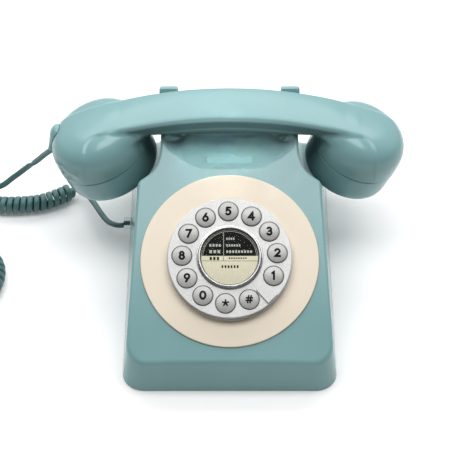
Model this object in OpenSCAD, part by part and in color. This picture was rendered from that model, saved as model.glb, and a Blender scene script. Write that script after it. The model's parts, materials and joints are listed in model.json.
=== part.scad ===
// Push-button desk telephone in the style of a dial telephone.
// Millimetres. X to the viewer's right, Y to the rear, Z up.
// The origin is under the middle of the case, on the surface it stands on.

/* [Case] */
// Width of the case at the table
base_w = 138.4; // [136:0.2:142]
// Depth of the case from front to rear
base_d = 200; // [196:1:204]
// Height of the front wall's upper edge
front_h = 25; // [24:0.5:26]
// Tilt of the dial face from level, in degrees
face_tilt = 26; // [25.5:0.1:26.5]
// Wall thickness of the case
wall = 2.6; // [2.2:0.1:2.8]
// Radius of the case corners, seen from above
corner_r = 14; // [10:0.5:16]
// Height of the case's lower edge above the table
rim_z = 0.6; // [0.4:0.1:1]
// Height of the rubber feet
foot_h = 2.5; // [2:0.1:3]

/* [Dial] */
// Outer diameter of the cream face disc
disc_d = 115; // [112:0.5:116]
// Outer diameter of the silver key ring
ring_d = 79.5; // [79.2:0.1:80]
// Height of the ring's top above the case face
ring_top = 7; // [6.8:0.1:7.4]
// Diameter of a push button
key_d = 12.3; // [11.8:0.1:12.4]
// Radius of the circle that the buttons stand on
key_circle_r = 30.6; // [30.4:0.1:30.7]
// Diameter of the centre button
redial_d = 36.7; // [36:0.1:37]

/* [Handset] */
// Half of the distance between the middles of the two cups
cup_x = 83.7; // [83.4:0.1:84]
// Mean radius of the cups at the seam
cup_r = 31; // [30.6:0.1:31.2]
// How much larger the mouthpiece's radius is than the mean, and the earpiece's smaller
cup_odds = 0.6; // [0:0.1:0.8]
// Tilt of the cups from upright, in degrees
cup_tilt = 22; // [21:0.5:23]
// Height of the handle's highest point
handle_top = 112.2; // [111.5:0.1:113]
// Height of the handle's underside
handle_bottom = 93; // [92.8:0.1:93.5]

/* [Cord] */
// Width of the flat cord
cord_d = 4; // [3.6:0.1:4]
// Outer diameter of the curly length
coil_d = 12.2; // [11.6:0.1:12.4]

/* [Hidden] */

$fn = 64;
eps = 0.1;
gap = 0.3;

// Case outline
side_taper = 0.12;
front_lean = 0.126;
rear_lean = 0.07;
slope = tan(face_tilt);
face_y0 = -base_d / 2 + front_lean * (front_h - rim_z);
seat_z = handle_bottom - 0.5;
seat_y = face_y0 + (seat_z - front_h) / slope;
neck_half_w = 45.3;
channel_half_w = 33.3;
channel_z = 84;
rear_y = 75;
scoop_r = 55.5;
scoop_pos = [88, 58, 92];

// Dial frame: middle of the dial on the case face
dial_y = -36.3;
dial_z = front_h + (dial_y - face_y0) * slope;
key_names = ["1", "2", "3", "4", "5", "6", "7", "8", "9", "0", "star", "hash"];
key_first_angle = -24;
key_step_angle = 28.9;
key_flange_r = 6.9;
housing_r = 39.2;
housing_inner_r = 37.9;
housing_top = 3.4;
plate_under = 4.8;
bezel_inner_r = redial_d / 2 + 0.35;
bezel_r = bezel_inner_r + 1.9;

// Handset
handset_y = 51;
cup_z = 69.8;
bowl_h = 25;
bowl_power = 3.5;
cap_h = 23;
cap_power = 5.4;
relief_z = 70.4;
cup_wall = 2.4;
bore_r = 3.1;
bore_z = 98.5;
arch = 0.0021;

// Inside
plate_t = 2;
plate_top = foot_h + plate_t;
boss_points = [[-50, -62], [50, -62], [-52, 66], [52, 66]];
foot_points = [[-50, -82], [50, -82], [-50, 80], [50, 80]];
board_z = 14;
board_t = 1.6;
board_w = 90;
board_points = [[-41, -80], [41, -80], [-41, -32], [41, -32]];
gong_r = 21;
gong_x = 26;
gong_y = 60;
pivot_y = 86;
socket_y = 36;
socket_z = 12;
line_socket_x = 32;
knob_x = [-27, -45];
plunger_x = 39.3;
plunger_r = 3;

// Cord routes, in order along the cord
tail_base_route = [
    [-73, 34, 12], [-78, 35, 11], [-84, 40, 9], [-89, 48, 8],
    [-94, 58, 7], [-99, 67, 6], [-104, 73, 6], [-110, 74, 6.2],
];
coil_route = [
    [-110, 74, 6.2], [-120, 67, 6.2], [-133, 61, 6.2], [-147, 59, 6.2], [-161, 59, 6.2],
    [-178, 62, 6.2], [-194, 60, 6.2], [-206, 50, 6.2], [-207, 36, 6.2], [-196, 27, 6.2],
    [-180, 22, 6.2], [-167, 14, 6.2], [-159, 2, 6.2], [-158, -12, 6.2], [-165, -27, 6.2],
    [-179, -37, 6.2], [-197, -41, 6.2], [-215, -37, 6.2], [-229, -25, 6.2], [-237, -8, 6.2],
    [-239, 12, 6.2],
];
tail_handset_route = [
    [-239, 12, 6.2], [-239, 22, 4], [-237, 36, 2.2], [-232, 52, 2.2], [-223, 66, 2.2],
    [-211, 75, 2.2], [-198, 79, 2.6], [-186, 78, 6], [-173, 73, 11], [-161, 67, 16.5],
    [-151, 68.5, 24], [-145, 67.5, 30.5], [-139, 65, 38.5], [-132, 61.5, 47.5],
    [-126, 57, 57.5], [-119.4, 51.3, 68.4],
];

// ---------- helpers ----------

// Moves every edge of a closed outline inward by d
function inset(pts, d) =
    let (n = len(pts))
    [for (i = [0 : n - 1])
        let (
            a = pts[(i + n - 1) % n],
            b = pts[i],
            c = pts[(i + 1) % n],
            u = (b - a) / norm(b - a),
            v = (c - b) / norm(c - b),
            n1 = [u.y, -u.x],
            n2 = [v.y, -v.x]
        )
        b - d * (n1 + n2) / (1 + n1 * n2)
    ];

// A point on a smooth curve through the route, at s counted in route points
function clamp_index(i, n) = max(0, min(n - 1, i));
function curve_point(route, s) =
    let (
        n = len(route),
        i = min(floor(s), n - 2),
        t = s - i,
        p0 = route[clamp_index(i - 1, n)],
        p1 = route[i],
        p2 = route[i + 1],
        p3 = route[clamp_index(i + 2, n)]
    )
    0.5 * (2 * p1 + (p2 - p0) * t + (2 * p0 - 5 * p1 + 4 * p2 - p3) * t * t
        + (3 * p1 - p0 - 3 * p2 + p3) * t * t * t);

// Rings of a round tube along a smooth curve through the route
function tube_rings(route, d, rings, sides) =
    [for (k = [0 : rings - 1])
        let (
            last = len(route) - 1,
            s = last * k / (rings - 1),
            p = curve_point(route, s),
            ahead = curve_point(route, min(last, s + 0.02)),
            behind = curve_point(route, max(0, s - 0.02)),
            dir = (ahead - behind) / norm(ahead - behind),
            side = cross(dir, [0, 0, 1]) / norm(cross(dir, [0, 0, 1])),
            up = cross(side, dir)
        )
        for (j = [0 : sides - 1])
            p + d / 2 * (side * cos(360 * j / sides) + up * sin(360 * j / sides))
    ];

module tube(route, d, rings, sides = 8) {
    points = tube_rings(route, d, rings, sides);
    walls = [for (k = [0 : rings - 2], j = [0 : sides - 1])
        [k * sides + j, k * sides + (j + 1) % sides,
            (k + 1) * sides + (j + 1) % sides, (k + 1) * sides + j]];
    first = [for (j = [sides - 1 : -1 : 0]) j];
    last = [for (j = [0 : sides - 1]) (rings - 1) * sides + j];
    polyhedron(points, concat([first], walls, [last]));
}

// Extrudes an outline drawn in Y and Z to both sides along X
module along_x(width) {
    rotate([90, 0, 90])
        linear_extrude(width, center = true)
            children();
}

// Extrudes an outline drawn in X and Z to the rear, from y0
module along_y(y0, length) {
    translate([0, y0 + length, 0])
        rotate([90, 0, 0])
            linear_extrude(length)
                children();
}

module rounded_square(size, r) {
    inner = size - [2 * r, 2 * r];
    square([size.x, inner.y], center = true);
    square([inner.x, size.y], center = true);
    for (sx = [-1, 1], sy = [-1, 1])
        translate([sx * inner.x / 2, sy * inner.y / 2])
            circle(r);
}

module both_sides() {
    children();
    mirror([1, 0, 0])
        children();
}

module dial_frame() {
    translate([0, dial_y, dial_z])
        rotate([face_tilt, 0, 0])
            children();
}

module key_frame(i) {
    dial_frame()
        rotate(key_first_angle + i * key_step_angle)
            translate([key_circle_r, 0, 0])
                rotate(-key_first_angle - i * key_step_angle)
                    children();
}

// side 1 is the earpiece, side -1 the mouthpiece; Z points up out of the cup
module cup_frame(side) {
    translate([side * (cup_x + side * cup_odds * cos(cup_tilt)), handset_y, cup_z])
        rotate([0, side * cup_tilt, 0])
            children();
}

module ring(r_out, r_in, z0, z1) {
    translate([0, 0, z0])
        difference() {
            cylinder(r = r_out, h = z1 - z0);
            translate([0, 0, -eps])
                cylinder(r = r_in, h = z1 - z0 + 2 * eps);
        }
}

// ---------- case ----------

function side_outline(z0) = [
    [-base_d / 2 + (z0 - rim_z) * front_lean, z0],
    [base_d / 2 - (z0 - rim_z) * rear_lean, z0],
    [base_d / 2 - 1.5, front_h - 1],
    [rear_y + 0.5, 52],
    [rear_y, seat_z],
    [seat_y, seat_z],
    [face_y0, front_h],
];

function front_outline(z0) = [
    [-base_w / 2 + z0 * side_taper, z0],
    [base_w / 2 - z0 * side_taper, z0],
    [base_w / 2 - 110 * side_taper, 110],
    [-base_w / 2 + 110 * side_taper, 110],
];

module case_block(d, z0) {
    intersection() {
        along_x(base_w + 10)
            polygon(inset(side_outline(z0), d));
        along_y(-base_d / 2 - 5, base_d + 10)
            polygon(inset(front_outline(z0), d));
        translate([0, 0, z0])
            linear_extrude(120)
                rounded_square([base_w - 2 * d, base_d - 2 * d], corner_r - d);
    }
}

// Hollows at both sides that the handset's cups hang in
module cup_scoops(d) {
    both_sides()
        translate(scoop_pos) {
            sphere(scoop_r + d);
            rotate([-90, 0, 0])
                cylinder(r = scoop_r + d, h = 80);
        }
}

module neck_block(d, z0) {
    intersection() {
        along_x(2 * (neck_half_w - d))
            polygon(inset(side_outline(z0), d));
        translate([-neck_half_w, 15, 50])
            cube([2 * neck_half_w, 70, 60]);
    }
}

// The two upright horns behind the handle
module rear_horns() {
    intersection() {
        along_x(2 * neck_half_w)
            polygon([[63.5, 80], [rear_y, 80], [rear_y, 104], [rear_y - 2.5, 106.5],
                [rear_y - 5, 106.5], [68.3, 104], [66.5, 98], [63.5, seat_z]]);
        along_y(60, 20)
            for (s = [-1, 1])
                translate([s * (neck_half_w + channel_half_w) / 2, 92])
                    rounded_square([neck_half_w - channel_half_w, 29], 5);
    }
}

// Dished recess under the handle, open at the front and the rear
module carry_channel(d) {
    along_y(24, 60)
        translate([0, channel_z + 20 - d])
            rounded_square([2 * (channel_half_w + d), 40], 12);
    hull() {
        dial_frame()
            for (s = [-1, 1]) {
                translate([s * 27.5, 77.4, -d])
                    cylinder(r = 15 + d, h = eps + d, $fn = 32);
                translate([s * 41.5, 85.3, -d])
                    cylinder(r = 1 + d, h = eps + d, $fn = 32);
            }
        for (s = [-1, 1]) {
            translate([s * 25, 31, channel_z - d])
                cylinder(r = 8, h = 1, $fn = 32);
            translate([s * 32, 40, channel_z - d])
                cylinder(r = 1, h = 1, $fn = 32);
        }
    }
}

module case_outer() {
    difference() {
        union() {
            difference() {
                case_block(0, rim_z);
                cup_scoops(0);
            }
            neck_block(0, rim_z);
            rear_horns();
        }
        carry_channel(0);
    }
}

module case_inner() {
    difference() {
        union() {
            difference() {
                case_block(wall, rim_z - 10);
                cup_scoops(wall);
            }
            neck_block(wall, rim_z - 10);
        }
        carry_channel(wall);
    }
}

module case_shell() {
    color("cadetblue")
        difference() {
            union() {
                difference() {
                    case_outer();
                    case_inner();
                }
                intersection() {
                    case_outer();
                    for (p = boss_points)
                        translate([p.x, p.y, plate_top])
                            cylinder(r = 4, h = 90);
                }
            }
            for (p = boss_points)
                translate([p.x, p.y, 0])
                    cylinder(r = 1.5, h = 18);
            dial_frame() {
                translate([0, 0, -20])
                    cylinder(r = housing_r + gap, h = 40);
                translate([0, 0, -0.8])
                    cylinder(d = disc_d + 0.4, h = 40);
            }
            for (s = [-1, 1])
                translate([s * plunger_x, handset_y, 70])
                    cylinder(r = plunger_r + gap, h = 40);
            translate([-base_w / 2 - 2, socket_y - 5.2, socket_z - 4.2])
                cube([8, 10.4, 8.4]);
            translate([line_socket_x - 5.2, base_d / 2 - 6, socket_z - 5.2])
                cube([10.4, 8, 10.4]);
            for (x = knob_x)
                translate([x - 5, base_d / 2 - 6, socket_z - 1.8])
                    cube([10, 8, 3.6]);
        }
}

module base_plate() {
    color("dimgray")
        difference() {
            union() {
                translate([0, 0, foot_h])
                    linear_extrude(plate_t)
                        rounded_square([base_w - 2 * wall - 1.4, base_d - 2 * wall - 1.2], corner_r - wall);
                for (p = board_points)
                    translate([p.x, p.y, foot_h])
                        cylinder(r = 3, h = board_z - foot_h);
            }
            for (p = boss_points)
                translate([p.x, p.y, 0]) {
                    cylinder(r = 1.7, h = 10);
                    cylinder(r = 3.4, h = foot_h + 1);
                }
            for (p = board_points)
                translate([p.x, p.y, 6])
                    cylinder(r = 1, h = 10);
        }
}

module rubber_feet() {
    color("black")
        for (p = foot_points)
            translate([p.x, p.y, 0])
                cylinder(r = 7, h = foot_h);
}

module case_screws() {
    color("silver")
        for (p = boss_points)
            translate([p.x, p.y, foot_h + 0.1]) {
                difference() {
                    cylinder(r = 3.1, h = 0.9);
                    translate([0, 0, -eps])
                        for (a = [0, 90])
                            rotate(a)
                                translate([-2, -0.3, 0])
                                    cube([4, 0.6, 0.5]);
                }
                cylinder(r = 1.45, h = 14);
            }
}

module ballast_weight() {
    color("gray")
        translate([-42, -20, plate_top])
            cube([84, 40, 6]);
}

// ---------- dial ----------

module face_disc() {
    color("antiquewhite")
        dial_frame()
            ring(disc_d / 2, housing_r + 0.2, -0.8, 1.2);
}

module dial_housing() {
    color("dimgray")
        dial_frame() {
            ring(housing_r, housing_inner_r, -4.4, housing_top);
            ring(40.3, housing_r - eps, 1.2, housing_top - 0.6);
            ring(housing_inner_r + eps, 8, -4.4, -2.8);
        }
}

module dial_ring() {
    color("silver")
        dial_frame() {
            ring(ring_d / 2, housing_inner_r + 0.4, housing_top, plate_under + eps);
            difference() {
                ring(ring_d / 2, bezel_r + 0.1, plate_under, ring_top);
                for (i = [0 : len(key_names) - 1])
                    rotate(key_first_angle + i * key_step_angle)
                        translate([key_circle_r, 0, 0])
                            cylinder(d = key_d + 0.6, h = 20);
            }
        }
}

module finger_stop() {
    color("silver")
        dial_frame()
            intersection() {
                rotate(-45)
                    translate([26, -4.5, ring_top])
                        cube([13, 9, 0.9]);
                translate([0, 0, ring_top])
                    cylinder(r = ring_d / 2 - 0.6, h = 0.9);
            }
}

module label_bezel() {
    color("silver")
        dial_frame() {
            ring(bezel_r, bezel_inner_r, plate_under - 0.4, ring_top + 1.9);
            ring(21.3, bezel_r - eps, ring_top, ring_top + 0.9);
        }
}

module keypad_membrane() {
    color("darkslategray")
        dial_frame() {
            translate([0, 0, -1.2])
                cylinder(r = housing_inner_r - 0.2, h = 1);
            translate([0, 0, -eps - 0.2])
                cylinder(r = 12, h = 1.1);
            for (i = [0 : len(key_names) - 1])
                rotate(key_first_angle + i * key_step_angle)
                    translate([key_circle_r, 0, -eps - 0.2])
                        cylinder(r = 5, h = 1);
        }
}

module keypad_board() {
    color("darkgreen")
        dial_frame()
            translate([0, 0, -2.8])
                cylinder(r = housing_inner_r - 0.2, h = 1.6);
}

module redial_button() {
    color("whitesmoke")
        dial_frame() {
            translate([0, 0, 4])
                cylinder(d = redial_d, h = 3.2);
            translate([0, 0, 2.7])
                cylinder(d = redial_d + 2, h = 1.3 + eps);
        }
}

module redial_card() {
    color("ivory")
        dial_frame()
            translate([0, 0, 7.2])
                cylinder(d = redial_d - 0.4, h = 0.3);
}

module redial_lens() {
    color("white", 0.4)
        dial_frame()
            translate([0, 0, 7.5])
                cylinder(d = redial_d, h = 0.9);
}

module key_cap(i) {
    color("gainsboro")
        key_frame(i) {
            translate([0, 0, 2.6])
                cylinder(r = key_flange_r, h = plate_under - gap - 2.6);
            translate([0, 0, 2.6])
                cylinder(d = key_d, h = 5.4);
            translate([0, 0, 8])
                intersection() {
                    cylinder(d = key_d - 0.8, h = 1);
                    translate([0, 0, -23.4])
                        sphere(24, $fn = 96);
                }
        }
}

// ---------- cradle ----------

module recess_tongue() {
    color("cadetblue")
        along_x(30)
            polygon([[23, channel_z], [50, channel_z], [50, channel_z + 1.2],
                [27.6, channel_z + 1.2], [27, channel_z + 2.2], [23, channel_z + 1.6]]);
}

module hook_bar() {
    color("whitesmoke") {
        translate([-42, handset_y - 3.5, 70])
            cube([84, 7, 4]);
        for (s = [-1, 1])
            translate([s * plunger_x, handset_y, 74 - eps])
                cylinder(r = plunger_r, h = handle_bottom - gap - 74 + eps);
    }
}

module hook_bracket() {
    color("dimgray") {
        translate([-28, 41, 62])
            cube([56, 20, 2]);
        for (x = [-25, 25], y = [43.5, 58.5])
            translate([x, y, 64 - eps])
                cylinder(r = 2, h = channel_z - wall - 64 + eps);
    }
}

module hook_switch() {
    color("black")
        translate([8, handset_y - 3, 64])
            cube([13, 6, 5.6]);
}

// ---------- electronics ----------

module main_board() {
    color("darkgreen") {
        difference() {
            translate([-board_w / 2, -86, board_z])
                cube([board_w, 60, board_t]);
            for (p = board_points)
                translate([p.x, p.y, board_z - 1])
                    cylinder(r = 1.2, h = 5);
        }
        for (x = [-30 : 15 : 30])
            translate([x, -60, board_z + board_t - eps])
                cube([7, 10, 3]);
        for (x = [-20, 0, 20])
            translate([x, -74, board_z + board_t - eps])
                cylinder(r = 3, h = 7);
    }
}

module board_screws() {
    color("silver")
        for (p = board_points)
            translate([p.x, p.y, board_z + board_t]) {
                cylinder(r = 2, h = 1.2);
                translate([0, 0, -7])
                    cylinder(r = 0.95, h = 7 + eps);
            }
}

// A modular socket that opens toward -Y, its mouth at the origin
module modular_socket(mouth_w, mouth_h, body_w, body_h, depth) {
    difference() {
        translate([-body_w / 2, 0, -body_h / 2])
            cube([body_w, depth, body_h]);
        translate([-mouth_w / 2, -1, -mouth_h / 2])
            cube([mouth_w, depth - 1, mouth_h]);
    }
}

module handset_socket() {
    color("black")
        translate([-base_w / 2 + 3.2, socket_y, socket_z])
            rotate(-90)
                modular_socket(7.9, 6.3, 10, 8, 15);
}

module line_socket() {
    color("black")
        translate([line_socket_x, base_d / 2 - 2.4, socket_z])
            rotate(180)
                modular_socket(8, 7, 10, 10, 15);
}

module switch_body(x) {
    color("black")
        difference() {
            translate([x - 7, base_d / 2 - 11.5, socket_z - 4])
                cube([14, 7.4, 8]);
            translate([x - 4.6, base_d / 2 - 6.5, socket_z - 1.4])
                cube([9.2, 5, 2.8]);
        }
}

module switch_knob(x) {
    color("white")
        translate([x - 4, base_d / 2 - 6, socket_z - 1.1])
            cube([4, 6, 2.2]);
}

module bell_gong(side) {
    color("lightgray")
        translate([side * gong_x, gong_y, 0]) {
            difference() {
                translate([0, 0, 16])
                    rotate_extrude()
                        polygon([[0, 14], [0, 12.6], [12, 12.2], [17, 10], [19.6, 5], [19.8, 0],
                            [gong_r, 0], [20.8, 6], [18, 11.2], [12.6, 13.6]]);
                translate([0, 0, 20])
                    cylinder(r = 1.6, h = 20);
            }
        }
}

module ringer_frame() {
    color("silver") {
        translate([-34, gong_y - 6, plate_top])
            cube([68, 12, 1.5]);
        translate([-18, gong_y, plate_top])
            cube([36, 35, 1.5]);
        for (s = [-1, 1]) {
            translate([s * gong_x, gong_y, plate_top])
                cylinder(r = 1.5, h = 28);
            translate([s * gong_x, gong_y, plate_top])
                cylinder(r = 4, h = 28.1 - plate_top);
            translate([s * 16.5 - 1, pivot_y - 3, plate_top])
                cube([2, 12, 14]);
        }
        translate([0, pivot_y, plate_top])
            cylinder(r = 2, h = 20);
        translate([0, pivot_y, plate_top])
            cylinder(r = 3.4, h = 16);
    }
}

module ringer_coil() {
    color("peru")
        for (s = [-1, 1])
            translate([s * 9.6, pivot_y + 4, plate_top + 8])
                rotate([0, 90, 0])
                    cylinder(r = 5.2, h = 11.6, center = true);
}

module ringer_hammer() {
    color("silver")
        translate([0, 0, 21.3])
            difference() {
                union() {
                    translate([0, pivot_y, 0])
                        cylinder(r = 4.2, h = 2.2);
                    translate([-1, gong_y, 0])
                        cube([2, pivot_y - gong_y, 2.2]);
                    translate([0, gong_y, 1.1])
                        sphere(3);
                }
                translate([0, pivot_y, -5])
                    cylinder(r = 2.05, h = 20);
            }
}

// ---------- handset ----------

function radius_of(side) = cup_r - side * cup_odds;

// A quarter of a rounded outline, from [r, 0] to [0, h]: power 2 is an ellipse, more is squarer
function rounded_quarter(r, h, power) = [for (a = [0 : 7.5 : 90])
    [r * pow(max(0, cos(a)), 2 / power), h * pow(max(0, sin(a)), 2 / power)]];

module bowl(side, d) {
    rotate_extrude()
        polygon(concat([[0, 0]], rounded_quarter(radius_of(side) - d, bowl_h - d, bowl_power)));
}

module handle_section() {
    polygon([[handset_y - 10, handle_bottom], [handset_y + 10, handle_bottom],
        [handset_y + 12.6, handle_bottom + 3], [handset_y + 15, handle_top - 5],
        [handset_y + 14, handle_top - 1.4], [handset_y + 12, handle_top],
        [handset_y - 12, handle_top], [handset_y - 14, handle_top - 1.4],
        [handset_y - 15, handle_top - 5], [handset_y - 12.6, handle_bottom + 3]]);
}

module handle_side() {
    polygon(concat(
        [for (x = [-90 : 10 : 90]) [x, handle_top - arch * x * x]],
        [[90, 80], [58, 84], [50, handle_bottom], [-50, handle_bottom], [-58, 84], [-90, 80]]));
}

module handset_solid() {
    intersection() {
        along_x(180)
            handle_section();
        along_y(handset_y - 20, 40)
            handle_side();
    }
    for (s = [-1, 1]) {
        cup_frame(s)
            bowl(s, 0);
        hull() {
            translate([s * 56, 0, 0])
                along_x(1)
                    translate([0, -arch * 56 * 56])
                        polygon([[handset_y - 9, handle_bottom], [handset_y + 9, handle_bottom],
                            [handset_y + 15, handle_top - 5], [handset_y + 12, handle_top],
                            [handset_y - 12, handle_top], [handset_y - 15, handle_top - 5]]);
            cup_frame(s)
                translate([0, 0, 7])
                    cylinder(r = 24, h = 3, $fn = 32);
        }
    }
}

module handset_body() {
    color("cadetblue")
        difference() {
            handset_solid();
            for (s = [-1, 1])
                cup_frame(s) {
                    bowl(s, cup_wall);
                    translate([0, 0, -40])
                        cylinder(r = cup_r + 20, h = 40);
                }
            translate([-60, handset_y, bore_z])
                rotate([0, 90, 0])
                    cylinder(r = bore_r, h = 120);
            both_sides()
                translate([57, handset_y, bore_z])
                    rotate([0, 125, 0])
                        cylinder(r = bore_r, h = 26);
        }
}

module cap_solid(side, d) {
    mirror([0, 0, 1])
        rotate_extrude()
            polygon(concat([[0, 0]], rounded_quarter(radius_of(side) - d, cap_h - d, cap_power)));
}

module cap(side, hole_rings) {
    color("cadetblue")
        cup_frame(side)
            difference() {
                cap_solid(side, 0);
                translate([0, 0, eps])
                    cap_solid(side, cup_wall);
                translate([0, 0, -cap_h - 1])
                    cylinder(r = 1, h = 6);
                for (k = hole_rings, a = [0 : 60 / k : 359])
                    rotate(a)
                        translate([k * 5, 0, -cap_h - 1])
                            cylinder(r = 1, h = 6);
            }
}

module mouthpiece_cap() {
    cap(-1, [1, 2]);
}

module earpiece_cap() {
    cap(1, [1, 2]);
}

module capsule(side, r, h) {
    color("black")
        cup_frame(side)
            translate([0, 0, -cap_h + cup_wall + 1.5])
                cylinder(r = r, h = h);
}

module handset_weight() {
    color("gray")
        translate([-35, handset_y, bore_z])
            rotate([0, 90, 0])
                cylinder(r = bore_r - 0.1, h = 70);
}

// Boot on the mouthpiece end that the cord leaves through
module handset_strain_relief() {
    color("cadetblue")
        difference() {
            hull() {
                translate([-114.8, handset_y, 84])
                    cube([10, 12, 12], center = true);
                translate([-117, handset_y, relief_z + 3])
                    cube([6, 8, 6], center = true);
            }
            cup_frame(-1) {
                bowl(-1, 0);
                cap_solid(-1, -0.2);
            }
        }
}

// ---------- cord ----------

module cord_plug() {
    color("lightcyan")
        translate([-base_w / 2 - 3.8, socket_y - 3.8, socket_z - 3])
            cube([14, 7.6, 6]);
}

module cord_tail_base() {
    color("darkslategray")
        tube(tail_base_route, cord_d, 12);
}

module cord_coil() {
    color("darkslategray")
        tube(coil_route, coil_d, 31, 10);
}

module cord_tail_handset() {
    color("darkslategray")
        tube(tail_handset_route, cord_d, 30);
}

// ---------- assembly ----------

case_shell();
base_plate();
rubber_feet();
case_screws();
ballast_weight();
face_disc();
dial_housing();
dial_ring();
finger_stop();
label_bezel();
keypad_membrane();
keypad_board();
redial_button();
redial_card();
redial_lens();
key_cap(0);  // key_1
key_cap(1);  // key_2
key_cap(2);  // key_3
key_cap(3);  // key_4
key_cap(4);  // key_5
key_cap(5);  // key_6
key_cap(6);  // key_7
key_cap(7);  // key_8
key_cap(8);  // key_9
key_cap(9);  // key_0
key_cap(10);  // key_star
key_cap(11);  // key_hash
recess_tongue();
hook_bar();
hook_bracket();
hook_switch();
main_board();
board_screws();
line_socket();
handset_socket();
switch_body(knob_x[0]);  // ringer_switch
switch_body(knob_x[1]);  // mode_switch
switch_knob(knob_x[0]);  // ringer_knob
switch_knob(knob_x[1]);  // mode_knob
bell_gong(-1);  // bell_gong_left
bell_gong(1);  // bell_gong_right
ringer_frame();
ringer_coil();
ringer_hammer();
handset_body();
mouthpiece_cap();
earpiece_cap();
capsule(-1, 12, 7);  // microphone_capsule
capsule(1, 19, 9);  // speaker_capsule
handset_weight();
handset_strain_relief();
cord_plug();
cord_tail_base();
cord_coil();
cord_tail_handset();
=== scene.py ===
"""Push-button desk telephone in the style of a dial telephone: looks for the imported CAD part."""
import json
import math

import bpy
import mathutils
import numpy as np
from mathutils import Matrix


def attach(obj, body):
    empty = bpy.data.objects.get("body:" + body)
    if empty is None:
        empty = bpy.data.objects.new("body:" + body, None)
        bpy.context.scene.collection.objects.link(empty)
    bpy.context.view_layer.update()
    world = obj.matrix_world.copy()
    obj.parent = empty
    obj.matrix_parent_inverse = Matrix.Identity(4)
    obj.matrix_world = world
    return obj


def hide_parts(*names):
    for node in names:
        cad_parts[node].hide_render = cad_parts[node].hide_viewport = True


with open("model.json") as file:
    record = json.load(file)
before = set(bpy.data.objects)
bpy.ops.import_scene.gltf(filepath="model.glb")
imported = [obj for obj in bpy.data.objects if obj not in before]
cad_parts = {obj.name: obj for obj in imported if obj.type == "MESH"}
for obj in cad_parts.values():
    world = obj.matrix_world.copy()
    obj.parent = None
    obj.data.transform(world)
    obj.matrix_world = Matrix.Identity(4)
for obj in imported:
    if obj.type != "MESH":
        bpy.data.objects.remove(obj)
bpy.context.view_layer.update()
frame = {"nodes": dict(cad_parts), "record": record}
MM = 0.001

# ---------------------------------------------------------------- camera

scene = bpy.context.scene
camera_data = bpy.data.cameras.new("camera")
camera_data.sensor_width = 36
camera_data.lens = 133.49
camera_data.shift_y = -0.0075
camera_data.clip_start = 0.01
camera_data.clip_end = 50
camera = bpy.data.objects.new("camera", camera_data)
camera.location = (-0.003, -0.7502, 0.8565)
camera.rotation_euler = (math.radians(43), 0, 0)
scene.collection.objects.link(camera)
scene.camera = camera

# ---------------------------------------------------------------- dimensions, in millimetres

# Case: the face's slope and front edge, the bottom rim, the level the handset rests on, the wall
TILT = math.radians(26)
SLOPE = math.tan(TILT)
RIM_Z = 0.6
FACE_Y = -96.93
FACE_Z = 25.0
SEAT_Z = 92.5
WALL = 2.6
# Cradle horns, and the hook's plungers between them
HORN_X = 40.2
HORN_HALF = 6.5
PLUNGER_X = 39.3
# Dial: its centre on the face, then levels above the face
DIAL_Y = -36.3
DIAL_Z = FACE_Z + (DIAL_Y - FACE_Y) * SLOPE
RING_LOW = 4.8
RING_HIGH = 7
RING_EDGE = 0.35
RING_OUTER = 39.75
RING_INNER = 20.8
CARD_TOP = 7.34
# Keys: angles in degrees, anticlockwise from the right
KEYS = ["1", "2", "3", "4", "5", "6", "7", "8", "9", "0", "star", "hash"]
KEY_CIRCLE = 30.6
KEY_FIRST = -24
KEY_STEP = 28.9
KEY_HOLE = 6.6
KEY_RADIUS = 6.15
KEY_TOP = 8.62
FIGURE_SIZE = 5.6
# Handset: its middle line, the cups' place and tilt, the caps
HANDLE_Y = 51.0
RIDGE_Z = 112.2
RIDGE_BEND = 0.0021
CUP_X = 84.3
CUP_Z = 69.3
CUP_TILT = math.radians(22)
CAP_DEPTH = 23
CAP_WALL = 2.4


def turn(axis, angle):
    """A 4x4 turn about one axis."""
    m = np.eye(4)
    i, j = [(1, 2), (2, 0), (0, 1)]["xyz".index(axis)]
    m[i, i] = m[j, j] = math.cos(angle)
    m[i, j], m[j, i] = -math.sin(angle), math.sin(angle)
    return m


def shift(x, y, z):
    m = np.eye(4)
    m[:3, 3] = (x, y, z)
    return m


def place(m, points):
    return np.asarray(points, float) @ m[:3, :3].T + m[:3, 3]


IDENTITY = np.eye(4)
DIAL = shift(0, DIAL_Y, DIAL_Z) @ turn("x", TILT)


def key_spot(i):
    """Where key i sits on the dial."""
    a = math.radians(KEY_FIRST + KEY_STEP * i)
    return KEY_CIRCLE * math.cos(a), KEY_CIRCLE * math.sin(a)


def key_frame(i):
    return DIAL @ shift(*key_spot(i), 0)


def cup_radius(side):
    """The mouthpiece, side -1, is a little wider than the earpiece, side 1."""
    return 31.6 - side * 1.2


def cup_frame(side):
    """Z points up out of the cup; side 1 is the earpiece."""
    return shift(side * CUP_X, HANDLE_Y, CUP_Z + side * -0.4) @ turn("y", side * CUP_TILT)


# ---------------------------------------------------------------- mesh helpers


def add_mesh(name, verts, faces, material, body, m=IDENTITY, sharp=35, replaces=(), slot=None):
    """A mesh piece from points in millimetres, shaded smooth except at sharp edges."""
    mesh = bpy.data.meshes.new(name)
    mesh.from_pydata((place(m, verts) * MM).tolist(), [], [list(map(int, f)) for f in faces])
    mesh.validate()
    obj = bpy.data.objects.new(name, mesh)
    scene.collection.objects.link(obj)
    finish_mesh(obj, sharp)
    if material is not None:
        mesh.materials.append(material)
    if body:
        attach(obj, body)
        if replaces:
            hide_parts(*replaces)
    return obj


def finish_mesh(obj, sharp):
    obj.data.shade_smooth()
    obj.data.set_sharp_from_angle(angle=math.radians(sharp))


def join_parts(parts):
    """One list of points and faces from several."""
    verts, faces, n = [], [], 0
    for v, f in parts:
        verts.append(np.asarray(v, float))
        faces.extend([[i + n for i in face] for face in f])
        n += len(v)
    return np.concatenate(verts), faces


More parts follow.
